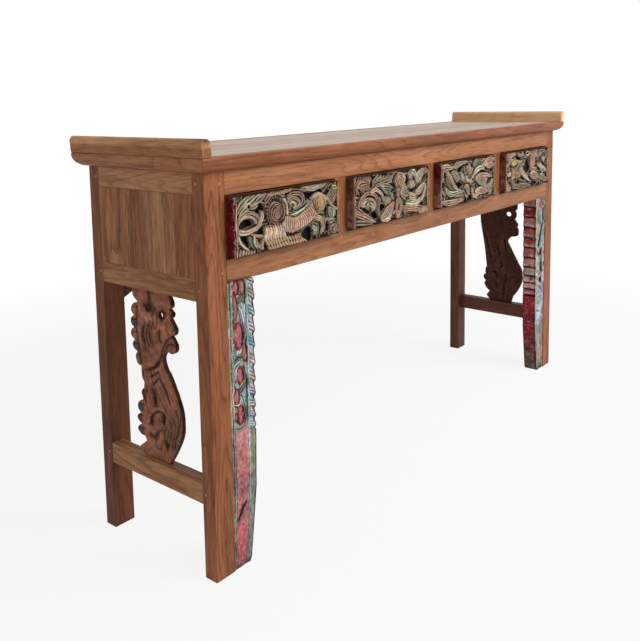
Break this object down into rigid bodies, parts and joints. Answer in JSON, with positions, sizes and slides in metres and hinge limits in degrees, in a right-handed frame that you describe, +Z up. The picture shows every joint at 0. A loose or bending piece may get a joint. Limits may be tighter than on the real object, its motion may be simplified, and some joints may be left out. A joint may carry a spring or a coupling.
{
  "type": "altar table",
  "caption": "Long narrow altar table with upturned end flanges, four drawers behind old carved painted fronts, painted carved pillars beside the front legs and pierced side brackets.",
  "frame": {"origin": "on the floor under the middle of the top", "axes": "+X along the table to the right as seen from the drawers, +Y to the back, the drawers face -Y, +Z up"},
  "size_m": [1.642, 0.395, 0.853],
  "materials": {
    "frame_wood": "waxed reclaimed teak",
    "top_wood": "waxed teak, worn pale",
    "panel_wood": "waxed reclaimed teak boards",
    "dark_wood": "old dark stained carving",
    "pillar_paint": "worn green, red, pink and blue paint on old wood",
    "carved_paint": "worn grey-green and brown paint on old carving",
    "drawer_wood": "plain sawn wood",
    "peg_wood": "dark end grain"
  },
  "bodies": {
    "table": {"back_bottom_rail": "frame_wood", "back_left_corner_bracket": "dark_wood", "back_left_post": "frame_wood", "back_panel": "panel_wood", "back_right_corner_bracket": "dark_wood", "back_right_post": "frame_wood", "back_top_rail": "frame_wood", "drawer_guides": "drawer_wood", "drawer_kickers": "drawer_wood", "drawer_runners": "drawer_wood", "front_bottom_rail": "frame_wood", "front_left_post": "frame_wood", "front_mullion_1": "frame_wood", "front_mullion_2": "frame_wood", "front_mullion_3": "frame_wood", "front_right_post": "frame_wood", "front_top_rail": "frame_wood", "joint_pegs": "peg_wood", "left_carved_bracket": "dark_wood", "left_end_flange": "frame_wood", "left_painted_pillar": "pillar_paint", "left_side_bottom_rail": "frame_wood", "left_side_panel": "panel_wood", "left_side_top_rail": "frame_wood", "left_stretcher": "frame_wood", "right_carved_bracket": "dark_wood", "right_end_flange": "frame_wood", "right_painted_pillar": "pillar_paint", "right_side_bottom_rail": "frame_wood", "right_side_panel": "panel_wood", "right_side_top_rail": "frame_wood", "right_stretcher": "frame_wood", "top_back_edge": "frame_wood", "top_back_plank": "top_wood", "top_front_edge": "frame_wood", "top_front_plank": "top_wood", "top_left_edge": "frame_wood", "top_middle_plank": "top_wood", "top_right_edge": "frame_wood"},
    "drawer_1": {"drawer_1_back": "drawer_wood", "drawer_1_bottom": "drawer_wood", "drawer_1_carved_front": "carved_paint", "drawer_1_front_board": "drawer_wood", "drawer_1_sides": "drawer_wood"},
    "drawer_2": {"drawer_2_back": "drawer_wood", "drawer_2_bottom": "drawer_wood", "drawer_2_carved_front": "carved_paint", "drawer_2_front_board": "drawer_wood", "drawer_2_sides": "drawer_wood"},
    "drawer_3": {"drawer_3_back": "drawer_wood", "drawer_3_bottom": "drawer_wood", "drawer_3_carved_front": "carved_paint", "drawer_3_front_board": "drawer_wood", "drawer_3_sides": "drawer_wood"},
    "drawer_4": {"drawer_4_back": "drawer_wood", "drawer_4_bottom": "drawer_wood", "drawer_4_carved_front": "carved_paint", "drawer_4_front_board": "drawer_wood", "drawer_4_sides": "drawer_wood"}
  },
  "joints": [
    {"name": "drawer_1_slide", "type": "slide", "parent": "table", "child": "drawer_1", "axis": [0, -1, 0], "range_m": [0, 0.22]},
    {"name": "drawer_2_slide", "type": "slide", "parent": "table", "child": "drawer_2", "axis": [0, -1, 0], "range_m": [0, 0.22]},
    {"name": "drawer_3_slide", "type": "slide", "parent": "table", "child": "drawer_3", "axis": [0, -1, 0], "range_m": [0, 0.22]},
    {"name": "drawer_4_slide", "type": "slide", "parent": "table", "child": "drawer_4", "axis": [0, -1, 0], "range_m": [0, 0.22]}
  ]
}
